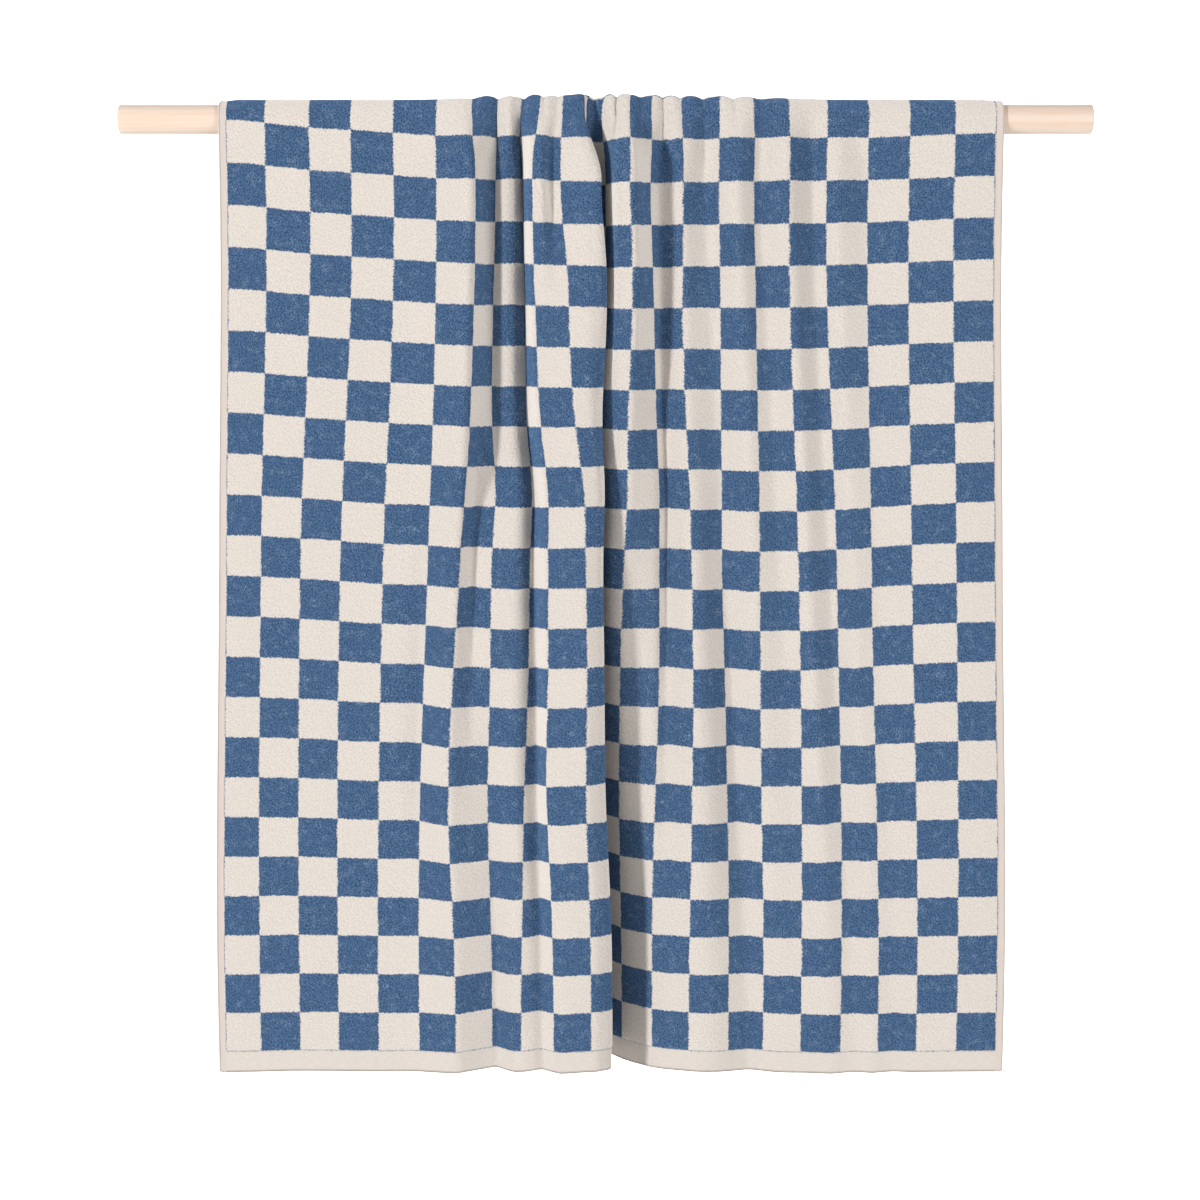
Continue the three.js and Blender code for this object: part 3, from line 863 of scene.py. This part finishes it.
def strands(finish, place):
    """Noise stretched into short strands that run at a slant."""
    slanted = finish.moved(place, GRAIN_OFFSET, GRAIN_STRETCH, turn=GRAIN_TURN)
    return finish.noise(slanted, MM_PER_CHECK / GRAIN_SIZE, detail=1, roughness=0.55)


def yarn_colour(finish, place, blue, grain):
    """Cream yarn and blue yarn, each between its deep and its light colour by the grain, then mixed by the
    squares. The blue takes its painted hollow shade and its squiggles first."""
    hollow_shade = marks(finish, place, HOLLOW_SHADE_SIZE, HOLLOW_SHADE_OFFSET)
    curl = marks(finish, place, CURL_SIZE, CURL_OFFSET)
    bare = marks(finish, place, BARE_SIZE, BARE_OFFSET, detail=2)
    off_line = ((curl - 0.5).math("ABSOLUTE") * CURL_THINNESS).held()
    fleck = (1 - off_line) * bare.eased(*BARE)
    blue_yarn = finish.mix(grain.eased(*BLUE_GRAIN), BLUE_DEEP, BLUE_LIGHT)
    # Painted shade of the hollows between the loops, at random places over the blue.
    blue_yarn = finish.mix(hollow_shade.eased(*HOLLOW_SHADE) * HOLLOW_SHADE_SHARE, blue_yarn, BLUE_HOLLOW_SHADE)
    blue_yarn = finish.mix(fleck * FLECK_SHARE, blue_yarn, FLECK)
    cream_yarn = finish.mix(grain.eased(*CREAM_GRAIN), CREAM_DEEP, CREAM_LIGHT)
    return finish.mix(blue, cream_yarn, blue_yarn)


print(f"grain in marks of {GRAIN_SIZE} mm, squiggles in marks of {CURL_SIZE} mm")

# %% [markdown]
# The hems have no pile. The end hem takes fine level streaks and a cream of its own, with a darker line along
# its edge, and blue yarn shows in dashes where the pile of a cream square stops. The side hem is plain cream.
# Distances here are in squares, counted from where the pile stops, and for the line from the edge itself.

# %% The hems
END_HEM_DEEP = paint(220, 212, 204)
END_HEM_LIGHT = paint(226, 219, 212)
HEM_LINE = paint(200, 190, 181)
SIDE_HEM_CREAM = paint(222, 212, 204)
SEAM_BLUE = paint(146, 156, 170)
HEM_SQUARES = END_HEM / CHECK_LENGTH
ROWS_OF_PILE = (TOWEL_LENGTH - 2 * END_HEM) / CHECK_LENGTH
PILE_RAGGEDNESS = 0.06
PILE_STOPS = Step(-0.02, 0.015)
SEAM_THINNESS = 28
SEAM_DASHES = Step(0.38, 0.52)
SEAM_SHARE = 0.65
STREAK_SIZE = 0.6
STREAK_STRETCH = (8, 1, 1)
STREAKS = Step(0.3, 0.7)
EDGE_LINE = Step(0.015, 0.045)
LEFT_HEM = Step(-0.03, 0.005)
RIGHT_HEM = Step(CHECKS_ACROSS - 0.005, CHECKS_ACROSS + 0.03)


def side_hems(across):
    """1 on the two side hems and 0 between them."""
    return 1 - across.eased(*LEFT_HEM) * (1 - across.eased(*RIGHT_HEM))


def hem_streaks(finish, place):
    """Noise drawn out along the hem, as flat weaving is."""
    level = finish.moved(place, (0, 0, 0), STREAK_STRETCH)
    return finish.noise(level, MM_PER_CHECK / STREAK_SIZE, detail=1)


def with_hems(finish, colour, blue, tuft, other_tuft, up, side_hem, streaks):
    """The colour with both kinds of hem laid over it, and 1 where there is a hem. The tufts make the line
    where the pile stops ragged, and break the blue seam into dashes."""
    from_hem = up.math("MINIMUM", ROWS_OF_PILE - up)
    ragged = from_hem + (tuft - 0.5) * PILE_RAGGEDNESS
    end_hem = 1 - ragged.eased(*PILE_STOPS)
    on_line = 1 - (ragged * SEAM_THINNESS).math("ABSOLUTE").held()
    seam = on_line * (1 - blue) * other_tuft.eased(*SEAM_DASHES)
    hem_tone = finish.mix(streaks.eased(*STREAKS), END_HEM_DEEP, END_HEM_LIGHT)
    at_edge = 1 - (from_hem + HEM_SQUARES).eased(*EDGE_LINE)
    hem_tone = finish.mix(at_edge, hem_tone, HEM_LINE)
    colour = finish.mix(end_hem, colour, hem_tone)
    colour = finish.mix(seam * SEAM_SHARE, colour, SEAM_BLUE)
    colour = finish.mix(side_hem, colour, SIDE_HEM_CREAM)
    return colour, end_hem.math("MAXIMUM", side_hem)


print(f"{ROWS_OF_PILE:.1f} rows of squares between the end hems")

# %% [markdown]
# The loops are far too many to model, so they are a bump: the cells of a Voronoi texture give a round top to
# each loop, and the grain adds the strands. The hems keep only their streaks.

# %% The finish of the towel
LOOP_SIZE = 1.7
LOOP_HEIGHT = 0.7
STRAND_HEIGHT = 0.8
STREAK_HEIGHT = 0.08
PILE_DEPTH = 0.6 * MM
PILE_STRENGTH = 0.8


def terry_finish():
    """Blue and cream squares in uneven pile, with smooth hems. Terry scatters light in all directions, so it
    is as rough as can be, with hardly any gloss."""
    finish = Finish("terry")
    place = finish.node("ShaderNodeUVMap", {"uv_map": "weave"}).outputs[0]
    parts = finish.node("ShaderNodeSeparateXYZ", None, place)
    across = Field(finish, parts.outputs[0])
    up = Field(finish, parts.outputs[1])
    tuft = marks(finish, place, TUFT_SIZE)
    other_tuft = marks(finish, place, TUFT_SIZE, OTHER_TUFT_OFFSET)
    blue = blue_squares(finish, place, across, up, tuft, other_tuft)
    grain = strands(finish, place)
    streaks = hem_streaks(finish, place)
    colour = yarn_colour(finish, place, blue, grain)
    colour, hem = with_hems(finish, colour, blue, tuft, other_tuft, up, side_hems(across), streaks)
    settings = {"voronoi_dimensions": "2D", "feature": "F1"}
    gaps = finish.number("ShaderNodeTexVoronoi", settings, Vector=place, Scale=MM_PER_CHECK / LOOP_SIZE)
    pile = (1 - gaps) * LOOP_HEIGHT + grain * STRAND_HEIGHT
    height = pile * (1 - hem) + streaks * STREAK_HEIGHT * hem
    relief = finish.bump(height, PILE_DEPTH, PILE_STRENGTH)
    return finish.surface(Base_Color=colour, Roughness=1.0, Diffuse_Roughness=1.0, Specular_IOR_Level=0.1,
                          Normal=relief)


terry = terry_finish()
towel.data.materials.append(terry)
print("terry", len(terry.node_tree.nodes), "nodes")

# %% [markdown]
# The rod is pale sanded wood without varnish. Its grain and its pores run along it, so both are noise in
# space that is squeezed across the rod far more than along it. A flat picture wrapped round the rod would
# show a seam and smear over the sawn ends, where this shows the same grain end on, as fine dots.

# %% The finish of the rod
WOOD = paint(236, 218, 203)
WOOD_DEEP = paint(230, 203, 181)
GRAIN_SQUEEZE = (6, 260, 260)
PORE_SQUEEZE = (30, 1500, 1500)
GRAIN_SHARE = 0.7
PORE_SHARE = 0.3
WOOD_TONE = Step(0.35, 0.68)
PORE_DEPTH = 0.15 * MM
PORE_STRENGTH = 0.5


def wood_finish():
    """Stretched noise for the grain, finer stretched noise for pores, and a tone from their weighted sum."""
    finish = Finish("pale_wood")
    coordinates = finish.node("ShaderNodeTexCoord").outputs["Object"]
    along_grain = finish.node("ShaderNodeMapping", None, Vector=coordinates, Scale=GRAIN_SQUEEZE)
    fine_grain = finish.node("ShaderNodeMapping", None, Vector=coordinates, Scale=PORE_SQUEEZE)
    grain = finish.noise(along_grain, 1.0, detail=4, dimensions="3D")
    pores = finish.noise(fine_grain, 1.0, detail=2, dimensions="3D")
    tone = (grain * GRAIN_SHARE + pores * PORE_SHARE).eased(*WOOD_TONE)
    colour = finish.mix(tone, WOOD_DEEP, WOOD)
    relief = finish.bump(pores, PORE_DEPTH, PORE_STRENGTH)
    return finish.surface(Base_Color=colour, Roughness=0.6, Specular_IOR_Level=0.3, Normal=relief)


wood = wood_finish()
rod.data.materials.append(wood)
print("wood", len(wood.node_tree.nodes), "nodes")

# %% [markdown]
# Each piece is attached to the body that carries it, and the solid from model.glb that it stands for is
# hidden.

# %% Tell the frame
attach(towel, "root")
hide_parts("towel")
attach(rod, "root")
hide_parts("rod")
print("told the frame of", towel.name, "and", rod.name)

# %% [markdown]
# The studio has a white paper sweep, a floor that curves up into a wall, so that no line shows where they
# meet. It lies well behind and below the towel, and its wall is far enough away for a camera to look at the
# towel from behind as well. In a plain white picture the backdrop is brighter than the light that reaches it
# would make it. So the paper glows a little, from just behind the towel onwards and never in front of it.

# %% Floor and backdrop
WALL_BACK = 3.5
WALL_TOP = 4.0
FLOOR_DROP = 1.25
FLOOR_FRONT = -6.0
SWEEP_RADIUS = 0.5
SWEEP_STATIONS = 13
SWEEP_SIDE = 7.0
PAPER = (0.9, 0.9, 0.9)
NO_GLOW = (0, 0, 0)
FULL_GLOW = (1, 1, 1)
GLOW_DEPTHS = Step(0.15, 0.55)
GLOW_STRENGTH = 0.9


def studio_sweep():
    """A floor that curves up into a wall: a profile of depth against height, carried sideways. The curve is a
    quarter circle, with its depth from the sine of the bend and its height from the cosine."""
    bend = np.linspace(0, np.pi / 2, SWEEP_STATIONS)
    curve_depth = WALL_BACK - SWEEP_RADIUS + SWEEP_RADIUS * np.sin(bend)
    curve_height = -FLOOR_DROP + SWEEP_RADIUS - SWEEP_RADIUS * np.cos(bend)
    depth = np.concatenate([[FLOOR_FRONT], curve_depth, [WALL_BACK]])
    height = np.concatenate([[-FLOOR_DROP], curve_height, [WALL_TOP]])
    x, y = np.meshgrid(np.array([-SWEEP_SIDE, SWEEP_SIDE]), depth)
    z = np.repeat(height[:, None], 2, axis=1)
    points = np.stack([x, y, z], axis=-1).reshape(-1, 3)
    index = np.arange(len(points)).reshape(-1, 2)
    return add_mesh("studio_sweep", points, strip(index[:, 1], index[:, 0]))


def lit_paper():
    """White paper that glows behind the object, as if lamps were turned on the backdrop alone. The glow is
    eased from none to full between two depths."""
    finish = Finish("white_paper")
    coordinates = finish.node("ShaderNodeTexCoord").outputs["Object"]
    depth = Field(finish, finish.node("ShaderNodeSeparateXYZ", None, coordinates).outputs[1])
    glow = finish.mix(depth.eased(*GLOW_DEPTHS), NO_GLOW, FULL_GLOW)
    return finish.surface(Base_Color=PAPER, Roughness=0.9, Emission_Color=glow,
                          Emission_Strength=GLOW_STRENGTH)


sweep = studio_sweep()
sweep.data.materials.append(lit_paper())
print("studio sweep", len(sweep.data.polygons), "faces")

# %% [markdown]
# Two lights stand in front, one to each side, and the room adds an even glow. The left one is small, so the
# pleat's shadow has a clean edge. The right one is larger and softer, and fills the folds. One frontal light
# would be simpler, but it would flatten the folds.

# %% Lights
ROOM_LIGHT = 0.235
TOWEL_MIDDLE = (0, 0, -0.35)

world = bpy.data.worlds.new("pale_room")
bpy.context.scene.world = world
world.use_nodes = True
background = world.node_tree.nodes["Background"]
background.inputs["Color"].default_value = (1, 1, 1, 1)
background.inputs["Strength"].default_value = ROOM_LIGHT


def soft_light(name, place, size, power):
    """A square area light at a place, turned to face the middle of the front fall."""
    lamp = bpy.data.lights.new(name, "AREA")
    lamp.shape = "SQUARE"
    lamp.size = size
    lamp.energy = power
    light = bpy.data.objects.new(name, lamp)
    direction = Vector(TOWEL_MIDDLE) - Vector(place)
    light.location = place
    light.rotation_euler = direction.to_track_quat("-Z", "Y").to_euler()
    bpy.context.scene.collection.objects.link(light)
    return light


key_light = soft_light("key_left", place=(-2.3, -1.93, 0.5), size=0.3, power=69)
fill_light = soft_light("fill_right", place=(2.25, -1.98, 0.5), size=1.0, power=42.5)
print("lights", key_light.name, fill_light.name)

# %% [markdown]
# The camera stands where the photograph was taken from. Its place, tilt and lens were found from the corners
# of the squares on the towel's flat parts. The Standard view keeps the colours as they were mixed.

# %% Camera
CAMERA_PLACE = (-0.004, -1.462, -0.15385)
LOOK_DOWN = np.radians(7.2)
SENSOR_WIDTH = 36
LENS_LENGTH = 61.41

camera_data = bpy.data.cameras.new("camera")
camera_data.sensor_width = SENSOR_WIDTH
camera_data.lens = LENS_LENGTH
camera = bpy.data.objects.new("camera", camera_data)
camera.location = CAMERA_PLACE
camera.rotation_euler = (np.pi / 2 - LOOK_DOWN, 0, 0)
bpy.context.scene.collection.objects.link(camera)
bpy.context.scene.camera = camera
bpy.context.scene.view_settings.view_transform = "Standard"
print("camera at", CAMERA_PLACE)
